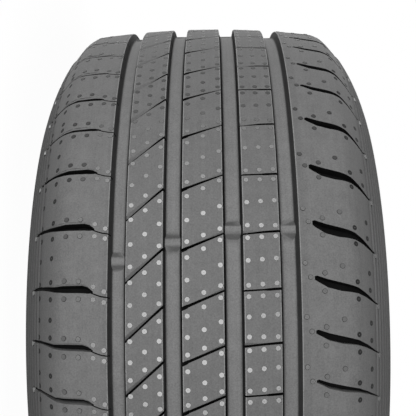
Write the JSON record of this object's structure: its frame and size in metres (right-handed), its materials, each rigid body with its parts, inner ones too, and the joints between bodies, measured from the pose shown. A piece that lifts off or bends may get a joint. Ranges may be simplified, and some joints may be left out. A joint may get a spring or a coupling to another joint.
{
  "type": "car tyre",
  "caption": "Low-profile car tyre, open at the beads to take a wheel, with ribbed grooves round the tread, shoulder slots and a rim guard on each sidewall.",
  "frame": {"origin": "centre of the tyre, on the wheel's axis and midway between the sidewalls", "axes": "+Z along the wheel's axis, towards the sidewall on the right of the picture; the tyre lies on its other sidewall, with -Y towards the picture's camera and -X up in the picture"},
  "size_m": [0.6494, 0.6494, 0.293],
  "materials": {
    "rubber": "matt moulded rubber"
  },
  "bodies": {
    "root": {"tyre": "rubber"}
  },
  "joints": []
}
